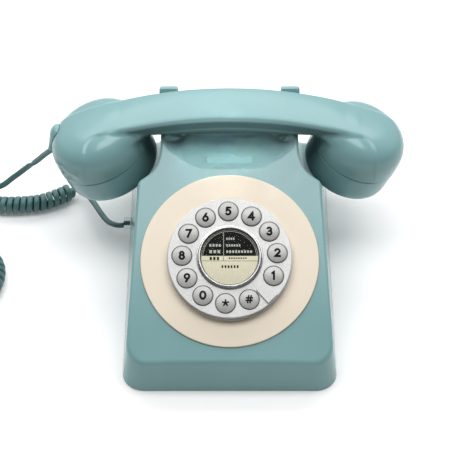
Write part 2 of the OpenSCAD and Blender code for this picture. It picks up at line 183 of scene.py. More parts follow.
def fillet(points, radii, steps=4, closed=True):
    """Rounds the corners of an outline."""
    out = []
    n = len(points)
    for i, (p, r) in enumerate(zip(points, radii)):
        p = np.array(p, float)
        if r <= 0 or (not closed and i in (0, n - 1)):
            out.append(p)
            continue
        a = np.array(points[i - 1], float) - p
        b = np.array(points[(i + 1) % n], float) - p
        la, lb = np.hypot(*a), np.hypot(*b)
        a, b = a / la, b / lb
        half = math.acos(np.clip(a @ b, -1, 1)) / 2
        t = min(r / math.tan(half), 0.49 * la, 0.49 * lb)
        r = t * math.tan(half)
        centre = p + (a + b) / np.hypot(*(a + b)) * r / math.sin(half)
        u, v = p + a * t - centre, p + b * t - centre
        sweep = math.atan2(u[0] * v[1] - u[1] * v[0], u @ v)
        for k in range(steps + 1):
            c, s = math.cos(sweep * k / steps), math.sin(sweep * k / steps)
            out.append(centre + np.array([u[0] * c - u[1] * s, u[0] * s + u[1] * c]))
    return out


def lathe(profile, n=96):
    """Turns an outline of (radius, height) points about Z.

    An outline that starts and ends on the axis is closed there.
    """
    profile = [(float(r), float(z)) for r, z in profile]
    solid = profile[0][0] < 1e-6 and profile[-1][0] < 1e-6
    rings = profile[1:-1] if solid else profile
    a = np.arange(n) * 2 * math.pi / n
    verts = [np.stack([r * np.cos(a), r * np.sin(a), np.full(n, z)], 1) for r, z in rings]
    faces = []
    m = len(rings)
    for i in range(m - 1 if solid else m):
        j = (i + 1) % m
        for k in range(n):
            l = (k + 1) % n
            faces.append([i * n + k, i * n + l, j * n + l, j * n + k])
    if solid:
        verts.append(np.array([[0, 0, profile[0][1]], [0, 0, profile[-1][1]]]))
        first, last = m * n, m * n + 1
        for k in range(n):
            l = (k + 1) % n
            faces.append([first, l, k])
            faces.append([last, (m - 1) * n + k, (m - 1) * n + l])
    return np.concatenate(verts), faces


def ring_profile(r0, r1, z0, z1, radius=0.3):
    return fillet([(r0, z0), (r1, z0), (r1, z1), (r0, z1)], [radius] * 4)


def slab(outline, z0, z1, top=None):
    """A flat plate with that outline. top gives its upper height at a point, instead of z1."""
    n = len(outline)
    o = np.asarray(outline, float)
    up = np.full(n, float(z1)) if top is None else np.array([top(x, y) for x, y in o])
    low = up - (z1 - z0) if top is not None else np.full(n, float(z0))
    verts = np.concatenate([np.column_stack([o, low]), np.column_stack([o, up])])
    faces = [[i, (i + 1) % n, n + (i + 1) % n, n + i] for i in range(n)]
    faces += [list(range(n - 1, -1, -1)), list(range(n, 2 * n))]
    return verts, faces


def box_points(x0, x1, y0, y1):
    return [(x0, y0), (x1, y0), (x1, y1), (x0, y1)]


def sweep(centres, sides, normals, outline):
    """A closed tube. Each (across, out) pair of the outline is laid along the side and normal there."""
    c, s, n = (np.asarray(v, float) for v in (centres, sides, normals))
    o = np.asarray(outline, float)
    m = len(o)
    verts = (c[:, None] + s[:, None] * o[None, :, :1] + n[:, None] * o[None, :, 1:]).reshape(-1, 3)
    faces = []
    for k in range(len(c) - 1):
        for j in range(m):
            l = (j + 1) % m
            faces.append([k * m + j, k * m + l, (k + 1) * m + l, (k + 1) * m + j])
    faces.append(list(range(m - 1, -1, -1)))
    faces.append([(len(c) - 1) * m + j for j in range(m)])
    return verts, faces


def unit(v):
    return v / np.linalg.norm(v, axis=-1, keepdims=True)


def smooth_route(route, per=12):
    """Catmull-Rom curve through the route's points."""
    p = np.asarray(route, float)
    p = np.concatenate([p[:1], p, p[-1:]])
    out = []
    for i in range(len(p) - 3):
        p0, p1, p2, p3 = p[i : i + 4]
        for t in np.arange(per) / per:
            bend = (2 * p0 - 5 * p1 + 4 * p2 - p3) * t * t + (3 * p1 - p0 - 3 * p2 + p3) * t**3
            out.append(0.5 * (2 * p1 + (p2 - p0) * t + bend))
    out.append(p[-2])
    return np.array(out)


def along(points, distances):
    """Points at those distances along a line of points, and the line's whole length."""
    s = np.concatenate([[0], np.cumsum(np.linalg.norm(np.diff(points, axis=0), axis=1))])
    return np.stack([np.interp(distances, s, points[:, k]) for k in range(3)], 1), s[-1]


def ease(x):
    x = np.clip(x, 0, 1)
    return x * x * (3 - 2 * x)


# ---------------------------------------------------------------- distance fields


def both(a, b, r):
    """Intersection of two fields with a rounded edge."""
    return np.minimum(-r, np.maximum(a, b)) + np.hypot(np.maximum(a + r, 0), np.maximum(b + r, 0))


def either(a, b, r):
    """Union of two fields with a rounded inner corner."""
    return -both(-a, -b, r)


def without(a, b, r):
    return both(a, -b, r)


def outline_distance(points, u, v):
    """Distance from (u, v) to a closed outline, negative inside."""
    pts = np.asarray(points, float)
    best, inside = None, None
    for a, b in zip(pts, np.roll(pts, -1, axis=0)):
        eu, ev = b - a
        wu, wv = u - a[0], v - a[1]
        t = np.clip((wu * eu + wv * ev) / (eu * eu + ev * ev), 0, 1)
        d = (wu - eu * t) ** 2 + (wv - ev * t) ** 2
        c1, c2, c3 = v >= a[1], v < b[1], eu * wv > ev * wu
        flip = (c1 & c2 & c3) | (~c1 & ~c2 & ~c3)
        best = d if best is None else np.minimum(best, d)
        inside = flip if inside is None else inside ^ flip
    return np.where(inside, -1, 1) * np.sqrt(best)


def local(m, x, y, z):
    """Coordinates of points in the frame m."""
    r = m[:3, :3]
    dx, dy, dz = x - m[0, 3], y - m[1, 3], z - m[2, 3]
    return [dx * r[0, k] + dy * r[1, k] + dz * r[2, k] for k in range(3)]


def surface(field, low, high, step, rounds=2):
    """Points and faces of the surface where the field is 0, found with surface nets and then refined."""
    axes = [np.arange(a, b + step, step) for a, b in zip(low, high)]
    f = field(*np.meshgrid(*axes, indexing="ij", sparse=True)).astype(np.float32)
    neg = f < 0
    n = np.array(f.shape) - 1
    corners = [(i, j, k) for i in (0, 1) for j in (0, 1) for k in (0, 1)]
    count = sum(neg[i : i + n[0], j : j + n[1], k : k + n[2]].astype(np.int8) for i, j, k in corners)
    mixed = (count > 0) & (count < 8)
    cells = np.argwhere(mixed)
    index = np.full(n, -1, np.int64)
    index[mixed] = np.arange(len(cells))
    total, hits = np.zeros((len(cells), 3)), np.zeros(len(cells))
    for a in corners:
        for axis in range(3):
            if a[axis]:
                continue
            b = list(a)
            b[axis] = 1
            fa = f[tuple((cells + a).T)]
            fb = f[tuple((cells + b).T)]
            cross = (fa < 0) != (fb < 0)
            t = fa[cross] / (fa[cross] - fb[cross])
            total[cross] += np.array(a) + t[:, None] * (np.array(b) - np.array(a))
            hits[cross] += 1
    verts = np.array(low) + step * (cells + total / hits[:, None])
    quads = []
    for axis in range(3):
        u, v = [k for k in range(3) if k != axis]
        here = [slice(1, -1)] * 3
        there = [slice(1, -1)] * 3
        here[axis], there[axis] = slice(0, -1), slice(1, None)
        a, b = neg[tuple(here)], neg[tuple(there)]
        for side in (True, False):
            at = np.argwhere((a != b) & (a == side))
            at = at + 1
            at[:, axis] -= 1
            steps = []
            for du, dv in ((0, 0), (1, 0), (1, 1), (0, 1)):
                c = at.copy()
                c[:, u] -= du
                c[:, v] -= dv
                steps.append(index[tuple(c.T)])
            q = np.stack(steps, 1)
            if side != (axis == 1):
                q = q[:, ::-1]
            quads.append(q)
    quads = np.concatenate(quads)

    def project(v, times):
        h = 0.02
        for _ in range(times):
            d = field(*v.T)
            g = np.stack([field(*(v + h * e).T) - field(*(v - h * e).T) for e in np.eye(3)], 1) / (2 * h)
            g2 = np.maximum((g * g).sum(1), 0.2)
            move = -(d / g2)[:, None] * g
            size = np.linalg.norm(move, axis=1, keepdims=True)
            v = v + move * np.minimum(1, 0.5 * step / np.maximum(size, 1e-9))
        return v

    verts = project(verts, 3)
    pairs = np.concatenate([quads[:, [0, 1]], quads[:, [1, 2]], quads[:, [2, 3]], quads[:, [3, 0]]])
    for _ in range(rounds):
        total, hits = np.zeros_like(verts), np.zeros(len(verts))
        for i, j in ((0, 1), (1, 0)):
            for k in range(3):
                total[:, k] += np.bincount(pairs[:, i], verts[pairs[:, j], k], len(verts))
            hits += np.bincount(pairs[:, i], minlength=len(verts))
        verts = project(0.4 * verts + 0.6 * total / hits[:, None], 2)
    return verts, quads


def cut(obj, parts):
    """Takes solids away from a piece."""
    verts, faces = join_parts(parts)
    tool = add_mesh("cutter", verts, faces, None, None)
    mod = obj.modifiers.new("cut", "BOOLEAN")
    mod.operation = "DIFFERENCE"
    mod.solver = "MANIFOLD"
    mod.object = tool
    bpy.context.view_layer.update()
    mesh = bpy.data.meshes.new_from_object(obj.evaluated_get(bpy.context.evaluated_depsgraph_get()))
    obj.modifiers.clear()
    old = obj.data
    obj.data = mesh
    mesh.name = obj.name
    bpy.data.meshes.remove(old)
    bpy.data.objects.remove(tool)
    return obj


def cutter_box(x0, x1, y0, y1, z0, z1):
    return slab(box_points(x0, x1, y0, y1), z0, z1)


def cutter_post(x, y, r, z0, z1, n=48):
    v, f = lathe([(0, z0), (r, z0), (r, z1), (0, z1)], n)
    return v + [x, y, 0], f


# ---------------------------------------------------------------- materials


def map_range(nodes, low, high, start=0.0, end=1.0):
    """A node that carries low..high over to start..end."""
    node = nodes.new("ShaderNodeMapRange")
    for name, value in zip(("From Min", "From Max", "To Min", "To Max"), (low, high, start, end)):
        node.inputs[name].default_value = value
    return node


def colour_mix(tree, factor, first, second):
    """Mixes a colour output with a fixed colour."""
    node = tree.nodes.new("ShaderNodeMix")
    node.data_type = "RGBA"
    tree.links.new(factor, node.inputs["Factor"])
    tree.links.new(first, node.inputs["A"])
    node.inputs["B"].default_value = (*second, 1)
    return node.outputs["Result"]


def plastic(
    name, dark, light, rough=(0.3, 0.4), metal=0.0, grain=900, bump=0.02, cloud=25, spec=0.5,
    edge=0.0, shade=0.0, under=0.0,
):
    """A moulded or painted surface: clouded colour, uneven gloss and a fine grain.

    edge lightens worn edges. shade and under are painted shade: shade darkens narrow places and gaps,
    under darkens downward-facing surfaces near the middle.
    """
    mat = bpy.data.materials.new(name)
    mat.use_nodes = True
    nodes, links = mat.node_tree.nodes, mat.node_tree.links
    bsdf = nodes["Principled BSDF"]
    where = nodes.new("ShaderNodeTexCoord")
    clouds = nodes.new("ShaderNodeTexNoise")
    clouds.inputs["Scale"].default_value = cloud
    clouds.inputs["Detail"].default_value = 5
    links.new(where.outputs["Object"], clouds.inputs["Vector"])
    ramp = nodes.new("ShaderNodeValToRGB")
    ramp.color_ramp.elements[0].position = 0.3
    ramp.color_ramp.elements[1].position = 0.7
    ramp.color_ramp.elements[0].color = (*dark, 1)
    ramp.color_ramp.elements[1].color = (*light, 1)
    links.new(clouds.outputs["Fac"], ramp.inputs["Fac"])
    colour = ramp.outputs["Color"]
    if edge:
        geo = nodes.new("ShaderNodeNewGeometry")
        worn = map_range(nodes, 0.51, 0.56, 0, edge)
        links.new(geo.outputs["Pointiness"], worn.inputs["Value"])
        paler = [min(1, c * 1.35 + 0.03) for c in light]
        colour = colour_mix(mat.node_tree, worn.outputs["Result"], colour, paler)
    # Painted shade: darker colour where other surfaces are near, in narrow places, creases and gaps.
    if shade:
        near = nodes.new("ShaderNodeAmbientOcclusion")
        near.inputs["Distance"].default_value = 0.035
        near.samples = 8
        painted_gap_shade = map_range(nodes, 0.15, 0.75, shade, 0)
        links.new(near.outputs["AO"], painted_gap_shade.inputs["Value"])
        colour = colour_mix(mat.node_tree, painted_gap_shade.outputs["Result"], colour, [c * 0.12 for c in dark])
    # Painted shade: darker colour on downward-facing surfaces, fully within 70 mm of the middle and fading
    # out by 100 mm.
    if under:
        facing = nodes.new("ShaderNodeNewGeometry")
        normal = nodes.new("ShaderNodeSeparateXYZ")
        links.new(facing.outputs["Normal"], normal.inputs["Vector"])
        low = map_range(nodes, 0.25, -0.25, 0, under)
        links.new(normal.outputs["Z"], low.inputs["Value"])
        spot = nodes.new("ShaderNodeSeparateXYZ")
        links.new(where.outputs["Object"], spot.inputs["Vector"])
        off = nodes.new("ShaderNodeMath")
        off.operation = "ABSOLUTE"
        links.new(spot.outputs["X"], off.inputs[0])
        middle = map_range(nodes, 0.100, 0.070)
        links.new(off.outputs["Value"], middle.inputs["Value"])
        painted_under_shade = nodes.new("ShaderNodeMath")
        painted_under_shade.operation = "MULTIPLY"
        links.new(low.outputs["Result"], painted_under_shade.inputs[0])
        links.new(middle.outputs["Result"], painted_under_shade.inputs[1])
        colour = colour_mix(mat.node_tree, painted_under_shade.outputs["Value"], colour, [c * 0.15 for c in dark])
    links.new(colour, bsdf.inputs["Base Color"])
    gloss = nodes.new("ShaderNodeTexNoise")
    gloss.inputs["Scale"].default_value = 60
    gloss.inputs["Detail"].default_value = 6
    links.new(where.outputs["Object"], gloss.inputs["Vector"])
    level = map_range(nodes, 0.3, 0.7, *rough)
    links.new(gloss.outputs["Fac"], level.inputs["Value"])
    links.new(level.outputs["Result"], bsdf.inputs["Roughness"])
    fine = nodes.new("ShaderNodeTexNoise")
    fine.inputs["Scale"].default_value = grain
    fine.inputs["Detail"].default_value = 3
    links.new(where.outputs["Object"], fine.inputs["Vector"])
    relief = nodes.new("ShaderNodeBump")
    relief.inputs["Strength"].default_value = 1.0
    relief.inputs["Distance"].default_value = bump * MM
    links.new(fine.outputs["Fac"], relief.inputs["Height"])
    links.new(relief.outputs["Normal"], bsdf.inputs["Normal"])
    bsdf.inputs["Metallic"].default_value = metal
    bsdf.inputs["Specular IOR Level"].default_value = spec
    return mat


def clear(name, tint, shine=0.06, rough=0.05):
    """A clear plastic: see-through film under a gloss that grows at glancing angles."""
    mat = bpy.data.materials.new(name)
    mat.use_nodes = True
    nodes, links = mat.node_tree.nodes, mat.node_tree.links
    nodes.remove(nodes["Principled BSDF"])
    out = nodes["Material Output"]
    film = nodes.new("ShaderNodeBsdfTransparent")
    film.inputs["Color"].default_value = (*tint, 1)
    glossy = nodes.new("ShaderNodeBsdfGlossy")
    glossy.inputs["Roughness"].default_value = rough
    fresnel = nodes.new("ShaderNodeFresnel")
    fresnel.inputs["IOR"].default_value = 1.09
    where = nodes.new("ShaderNodeTexCoord")
    wave = nodes.new("ShaderNodeTexNoise")
    wave.inputs["Scale"].default_value = 120
    links.new(where.outputs["Object"], wave.inputs["Vector"])
    relief = nodes.new("ShaderNodeBump")
    relief.inputs["Distance"].default_value = shine * MM
    links.new(wave.outputs["Fac"], relief.inputs["Height"])
    links.new(relief.outputs["Normal"], glossy.inputs["Normal"])
    links.new(relief.outputs["Normal"], fresnel.inputs["Normal"])
    mix = nodes.new("ShaderNodeMixShader")
    links.new(fresnel.outputs["Fac"], mix.inputs["Fac"])
    links.new(film.outputs["BSDF"], mix.inputs[1])
    links.new(glossy.outputs["BSDF"], mix.inputs[2])
    links.new(mix.outputs["Shader"], out.inputs["Surface"])
    return mat


# The case, the handset's caps and its handle share one colour and gloss; the caps' and the handle's copies
# add painted shade in narrow gaps, and the handle's also on its downward-facing middle.
TEAL_LOOK = dict(
    dark=(0.200, 0.368, 0.378), light=(0.212, 0.386, 0.396),
    rough=(0.16, 0.21), grain=1400, bump=0.003, spec=0.4,
)
TEAL = plastic("teal_plastic", **TEAL_LOOK)
CAP_PAINTED_SHADE = plastic("cap_plastic_painted_shade", shade=0.7, **TEAL_LOOK)
HANDLE_PAINTED_SHADE = plastic("handle_plastic_painted_shade", shade=0.7, under=0.62, **TEAL_LOOK)
CREAM = plastic(
    "cream_plastic", (0.790, 0.700, 0.565), (0.820, 0.730, 0.595),
    rough=(0.5, 0.58), grain=1600, bump=0.008,
)
SILVER = plastic(
    "silver_paint", (0.500, 0.500, 0.494), (0.610, 0.610, 0.602),
    rough=(0.42, 0.52), metal=0.35, grain=2600, bump=0.03, cloud=900,
)
KEYCAP = plastic(
    "key_plastic", (0.370, 0.372, 0.355), (0.440, 0.442, 0.424),
    rough=(0.38, 0.46), metal=0.2, grain=2200, bump=0.025, cloud=700, edge=0.3,
)
CHROME = plastic(
    "bright_metal", (0.720, 0.720, 0.730), (0.780, 0.780, 0.785),
    rough=(0.12, 0.2), metal=1.0, grain=500, bump=0.004,
)
SATIN = plastic(
    "satin_metal", (0.300, 0.302, 0.300), (0.400, 0.402, 0.398),
    rough=(0.2, 0.3), metal=1.0, grain=900, bump=0.01, cloud=300,
)
DARK = plastic(
    "dark_plastic", (0.020, 0.022, 0.024), (0.032, 0.034, 0.036),
    rough=(0.4, 0.5), grain=1200, bump=0.02,
)
WHITE = plastic(
    "white_plastic", (0.620, 0.610, 0.580), (0.680, 0.670, 0.640),
    rough=(0.35, 0.45), grain=1200, bump=0.01,
)
CARD = plastic(
    "printed_card", (0.880, 0.830, 0.640), (0.920, 0.870, 0.690),
    rough=(0.6, 0.7), grain=3000, bump=0.02, cloud=200,
)
INK = plastic(
    "print_black", (0.009, 0.010, 0.009), (0.018, 0.019, 0.017),
    rough=(0.6, 0.7), grain=2500, bump=0.01, cloud=300, spec=0.05,
)
PALE_INK = plastic(
    "print_pale", (0.520, 0.540, 0.500), (0.600, 0.610, 0.570),
    rough=(0.5, 0.6), grain=2500, bump=0.01, cloud=300,
)
RUBBER = plastic(
    "soft_rubber", (0.018, 0.018, 0.020), (0.030, 0.030, 0.032),
    rough=(0.65, 0.8), grain=700, bump=0.05,
)
BOARD = plastic(
    "circuit_board", (0.012, 0.090, 0.040), (0.020, 0.130, 0.055),
    rough=(0.3, 0.45), grain=1500, bump=0.02, cloud=150,
)
STEEL = plastic(
    "plated_steel", (0.480, 0.480, 0.470), (0.560, 0.555, 0.540),
    rough=(0.25, 0.38), metal=1.0, grain=800, bump=0.01,
)
IRON = plastic(
    "weight_iron", (0.090, 0.088, 0.085), (0.140, 0.135, 0.130),
    rough=(0.5, 0.7), metal=0.6, grain=500, bump=0.12,
)
COPPER = plastic(
    "copper_wire", (0.480, 0.200, 0.090), (0.600, 0.270, 0.130),
    rough=(0.25, 0.35), metal=1.0, grain=1800, bump=0.1,
)
CORD = plastic(
    "cord_rubber", (0.060, 0.150, 0.152), (0.085, 0.190, 0.192),
    rough=(0.36, 0.5), grain=1500, bump=0.02, cloud=90, edge=0.2,
)
LENS = clear("clear_lens", (0.97, 0.975, 0.965))
CLEAR = clear("clear_plug", (0.93, 0.95, 0.95), shine=0.1, rough=0.1)

SLOTS = {
    "teal_plastic": TEAL, "cream_plastic": CREAM, "silver_plastic": SILVER, "key_plastic": KEYCAP,
    "bright_metal": CHROME, "dark_plastic": DARK, "white_plastic": WHITE, "clear_plastic": LENS,
    "printed_card": CARD, "soft_rubber": RUBBER, "circuit_board": BOARD, "plated_steel": STEEL,
    "weight_iron": IRON, "copper_wire": COPPER, "cord_rubber": CORD,
}
for part in frame["record"]["subparts"]:
    node = frame["nodes"][part["node"]]
    for s in node.material_slots:
        s.link = "OBJECT"
        s.material = SLOTS[part["material_slot"]]
    if not node.material_slots:
        node.data.materials.append(SLOTS[part["material_slot"]])

# ---------------------------------------------------------------- cord

# The coil's outer width, the height of its middle line and one turn's advance; the flat wire's width
# and thickness
COIL_D = 12.2
COIL_Z = 6.2
PITCH = 4.6
CORD_W = 4.0
CORD_T = 2.4
TAIL_BASE = [
    (-73, 34, 12), (-78, 35, 11), (-84, 40, 9), (-89, 48, 8),
    (-94, 58, 7), (-99, 67, 6), (-104, 73, 6), (-110, 74, COIL_Z),
]
COIL = [
    (-110, 74), (-120, 67), (-133, 61), (-147, 59), (-161, 59), (-178, 62), (-194, 60),
    (-206, 50), (-207, 36), (-196, 27), (-180, 22), (-167, 14), (-159, 2), (-158, -12),
    (-165, -27), (-179, -37), (-197, -41), (-215, -37), (-229, -25), (-237, -8), (-239, 12),
]
TAIL_HANDSET = [
    (-239, 12, COIL_Z), (-239, 22, 4), (-237, 36, 2.2), (-232, 52, 2.2), (-223, 66, 2.2),
    (-211, 75, 2.2), (-198, 79, 2.6), (-186, 78, 6), (-173, 73, 11), (-161, 67, 16.5),
    (-151, 68.5, 24), (-145, 67.5, 30.5), (-139, 65, 38.5), (-132, 61.5, 47.5),
    (-126, 57, 57.5), (-119.4, 51.3, 68.4),
]


def cord_line():
    """Centres of the whole cord, and the direction its flat side faces."""
    up = np.array([0, 0, 1.0])
    start = smooth_route(TAIL_BASE)
    end = smooth_route(TAIL_HANDSET)
    axis = smooth_route([(x, y, COIL_Z) for x, y in COIL], 30)
    _, length = along(axis, [0])
    turns = round(length / PITCH)
    n = turns * 20
    s = np.linspace(0, length, n + 1)
    centre, _ = along(axis, s)
    ahead, _ = along(axis, s + 0.5)
    behind, _ = along(axis, s - 0.5)
    t = unit(ahead - behind)
    side = unit(np.cross(t, up))
    lift = np.cross(side, t)
    turned = 2 * math.pi * turns * s / length
    out = side * np.cos(turned)[:, None] + lift * np.sin(turned)[:, None]
    r = (COIL_D - CORD_T) / 2 * ease(s / 5) * ease((length - s) / 5)
    helix = centre + out * r[:, None]
    blend = (ease(s / 7) * ease((length - s) / 7))[:, None]
    flat = unit(out * blend + up * (1 - blend) + 1e-4)
    _, l0 = along(start, [0])
    first, _ = along(start, np.arange(0, l0 - 0.6, 1.5))
    _, l1 = along(end, [0])
    last, _ = along(end, np.append(np.arange(1.0, l1 - 0.8, 1.8), l1))
    facing = np.linspace(0, 1, len(last))[:, None]
    view = np.array([0.25, -0.62, 0.74])
    edge_on = np.array([0.75, 0.55, -0.2])
    lean, twist = ease(facing / 0.6), ease((facing - 0.72) / 0.28)
    normal = up * (1 - lean) + view * lean * (1 - twist) + edge_on * twist
    points = np.concatenate([first, helix, last])
    normals = np.concatenate([np.tile(up, (len(first), 1)), flat, normal])
    return points, normals


centres, faces_out = cord_line()
tangent = unit(np.gradient(centres, axis=0))
across = unit(np.cross(tangent, faces_out))
faces_out = unit(np.cross(across, tangent))
angles = np.arange(12) * 2 * math.pi / 12
squarish = [[math.copysign(abs(v) ** 0.7, v) for v in (math.cos(a), math.sin(a))] for a in angles]
band = [(CORD_W / 2 * u, CORD_T / 2 * v) for u, v in squarish]
cord = add_mesh(
    "handset_cord", *sweep(centres, across, faces_out, band), CORD, "base",
    sharp=80, replaces=("cord_tail_base", "cord_coil", "cord_tail_handset"), slot="cord_rubber",
)

# The clear plug at the base, with its latch and contacts
plug_box = [
    ((-73, -61.5), (32.2, 39.8), (9.0, 14.0)),
    ((-71, -60), (33.4, 38.6), (14.0, 15.0)),
]
plug_parts = [slab(fillet(box_points(x[0], x[1], y[0], y[1]), [0.7] * 4, 3), *z) for x, y, z in plug_box]
cord_plug = add_mesh(
    "plug_shell", *join_parts(plug_parts), CLEAR, "base",
    replaces=("cord_plug",), slot="clear_plastic",
)
pins = [slab(box_points(-63.5, -60.3, 33.6 + 1.3 * k, 34.1 + 1.3 * k), 9.4, 12.8) for k in range(4)]
core = sweep(
    [(-72.9, 36, 12), (-68.5, 36, 12)], [(0, 1, 0)] * 2, [(0, 0, 1)] * 2,
    [(a * 0.85, b * 0.8) for a, b in band],
)
plug_pins = add_mesh("plug_contacts", *join_parts(pins), CHROME, "base")
plug_core = add_mesh("plug_core", *core, CORD, "base")

# ---------------------------------------------------------------- case


HORN = [
    (63.5, 80), (75, 80), (75, 104), (72.5, 106.5), (70, 106.5), (68.3, 104), (66.5, 98), (63.5, 92.5),
]


def case_field(x, y, z):
    """The case's outer surface, with its neck, cradle horns and recess."""
    ax = np.abs(x)
    front = -100 + 0.126 * (z - RIM_Z)
    rear = 100 - 0.07 * (z - RIM_Z)
    qx = ax - (69.2 - 0.12 * z - 14)
    qy = np.abs(y - (front + rear) / 2) - ((rear - front) / 2 - 14)
    plan = np.hypot(np.maximum(qx, 0), np.maximum(qy, 0)) + np.minimum(np.maximum(qx, qy), 0) - 14
    slope = (y - 98.5) * 0.7727 + (z - 24) * 0.6347
    scoop = np.sqrt((ax - 88) ** 2 + np.minimum(y - 58, 0) ** 2 + (z - 92) ** 2) - 55.5
    sides = without(both(plan, slope, 9), scoop, 2.2)
    neck = np.maximum(both(ax - 45.3, y - 75, 4), 5 - y)
    sides = either(sides, neck, 6)
    crown = 2.0 * np.minimum(ax / 66, 1) ** 3 * np.exp(-(((y - FACE_Y) / 26) ** 2))
    face = (z - FACE_Z + crown - (y - FACE_Y) * SLOPE) * math.cos(TILT)
    body = both(both(sides, face, 1.9), z - SEAT_Z, 2)
    horn = outline_distance(HORN, y, z)
    horn = both(horn, np.abs(ax - HORN_X) - HORN_HALF, 2)
    body = either(body, horn, 1)
    rise = np.maximum(y - 19.6, 0)
    floor = 81.1 + 2.9 * (1 - np.exp(-rise / 9))
    half = 43.4 - 9.6 * ease((y - 38) / 9)
    rim = (ax / 43.4) ** 3.3 + (np.maximum(45.5 - y, 0) / 25.7) ** 3.3
    rim = 25 * (np.maximum(rim, 1e-9) ** (1 / 3.3) - 1)
    dish = both(floor - z, np.maximum(rim, (ax - half) * 0.95), 1.6 + 6.4 * ease((ax - 16) / 22))
    return without(body, dish, 1.0)


def case_shell_field(x, y, z):
    """The case as a shell, left open underneath once it is cut at RIM_Z."""
    outer = case_field(x, y, z)
    return np.maximum(np.maximum(outer, -(outer + WALL)), -3 - z)


verts, faces = surface(case_shell_field, (-72, -103, -5), (72, 103, 110), 1.15)
case = add_mesh("case_cover", verts, faces, TEAL, "base", replaces=("case_shell",), slot="teal_plastic")
# The open underside, the handset socket, the line socket and the slots of the two rear switches
cuts = [
    cutter_box(-90, 90, -120, 120, -20, RIM_Z),
    cutter_box(-72, -62, 30.8, 41.2, 7.8, 16.2),
    cutter_box(26.8, 37.2, 90, 110, 6.8, 17.2),
    cutter_box(-32, -22, 90, 110, 10.2, 13.8),
    cutter_box(-50, -40, 90, 110, 10.2, 13.8),
]
for s in (-1, 1):
    cuts.append(cutter_post(s * PLUNGER_X, HANDLE_Y, 3.3, 60, 100))
v, f = lathe([(0, -9), (39.5, -9), (39.5, -0.8), (57.7, -0.8), (57.7, 30), (0, 30)], 160)
cuts.append((place(DIAL, v), f))
cut(case, cuts)
finish_mesh(case, 32)

# The raised tongue at the front of the recess, drawn from the side
tongue = fillet(
    [(23.9, 81.4), (33, 82.4), (30.2, 84.0), (29.2, 86.2), (26.4, 86.0)],
    [0, 0, 1.2, 0.8, 0.7], 5,
)
n = len(tongue)
tv = [(side * 15, y, z) for side in (-1, 1) for y, z in tongue]
tf = [[i, n + i, n + (i + 1) % n, (i + 1) % n] for i in range(n)]
tf += [list(range(n)), list(range(2 * n - 1, n - 1, -1))]
add_mesh("recess_lip", tv, tf, TEAL, "base", replaces=("recess_tongue",), slot="teal_plastic", sharp=50)

# ---------------------------------------------------------------- dial


def dial_piece(name, profile, material, body="base", node=None, slot=None, n=144, sharp=32):
    v, f = lathe(profile, n)
    return add_mesh(name, v, f, material, body, DIAL, sharp, (node,) if node else (), slot)


dial_piece(
    "cream_disc",
    fillet([(39.4, -0.8), (57.5, -0.8), (57.5, 1.2), (39.4, 1.2)], [0.1, 0.1, 0.7, 0.4], 5),
    CREAM, node="face_disc", slot="cream_plastic", n=180,
)
dial_piece(
    "dial_drum",
    fillet(
        [
            (8, -4.4), (39.2, -4.4), (39.2, 1.2), (40.3, 1.2), (40.3, 2.8), (39.2, 2.8), (39.2, 3.4),
            (37.9, 3.4), (37.9, -2.8), (8, -2.8),
        ],
        [0, 0, 0, 0.25, 0.4, 0, 0.1, 0.1, 0, 0], 4,
    ),
    SILVER, node="dial_housing", slot="dark_plastic",
)


def ring_plate():
    """The silver ring with its twelve holes, from a filled outline with rounded edges."""
    curve = bpy.data.curves.new("ring_outline", "CURVE")
    curve.dimensions = "2D"
    curve.fill_mode = "BOTH"
    curve.extrude = (RING_HIGH - RING_LOW) / 2 * MM - RING_EDGE * MM
    curve.bevel_depth = RING_EDGE * MM
    curve.bevel_resolution = 3
    curve.offset = -RING_EDGE * MM

    def circle(cx, cy, r, n):
        spline = curve.splines.new("POLY")
        spline.points.add(n - 1)
        for k in range(n):
            a = 2 * math.pi * k / n
            spline.points[k].co = ((cx + r * math.cos(a)) * MM, (cy + r * math.sin(a)) * MM, 0, 1)
        spline.use_cyclic_u = True

    circle(0, 0, RING_OUTER, 180)
    circle(0, 0, RING_INNER, 96)
    for i in range(len(KEYS)):
        circle(*key_spot(i), KEY_HOLE, 56)
    obj = bpy.data.objects.new("ring_outline", curve)
    scene.collection.objects.link(obj)
    bpy.context.view_layer.update()
    mesh = bpy.data.meshes.new_from_object(obj.evaluated_get(bpy.context.evaluated_depsgraph_get()))
    bpy.data.objects.remove(obj)
    v = np.array([p.co for p in mesh.vertices]) / MM + [0, 0, (RING_LOW + RING_HIGH) / 2]
    f = [list(p.vertices) for p in mesh.polygons]
    return v, f


v, f = ring_plate()
add_mesh("key_ring", v, f, SILVER, "base", DIAL, 30, ("dial_ring",), "silver_plastic")
dial_piece("key_ring_skirt", ring_profile(38.3, 39.6, 3.45, 4.85, 0.15), SILVER)
dial_piece(
    "card_bezel",
    fillet(
        [
            (18.7, 4.4), (20.6, 4.4), (20.6, 7.0), (21.3, 7.0), (21.3, 7.8), (20.5, 7.9), (20.1, 8.9),
            (19.0, 8.9), (18.7, 8.3),
        ],
        [0.1, 0.1, 0, 0.1, 0.35, 0.3, 0.4, 0.4, 0.2], 5,
    ),
    SATIN, node="label_bezel", slot="bright_metal",
)
stop = fillet([(26.6, -3.6), (39.0, -4.3), (39.0, 4.3), (26.6, 3.6)], [1.6, 0.3, 0.3, 1.6], 5)
v, f = slab(stop, 7.02, 8.3)
stop_piece = add_mesh(
    "stop_plate", v, f, SILVER, "base", DIAL @ turn("z", math.radians(-45)), 30, ("finger_stop",),
    "silver_plastic",
)
bevel = stop_piece.modifiers.new("edge", "BEVEL")
bevel.width = 0.25 * MM
bevel.segments = 3
bevel.limit_method = "ANGLE"

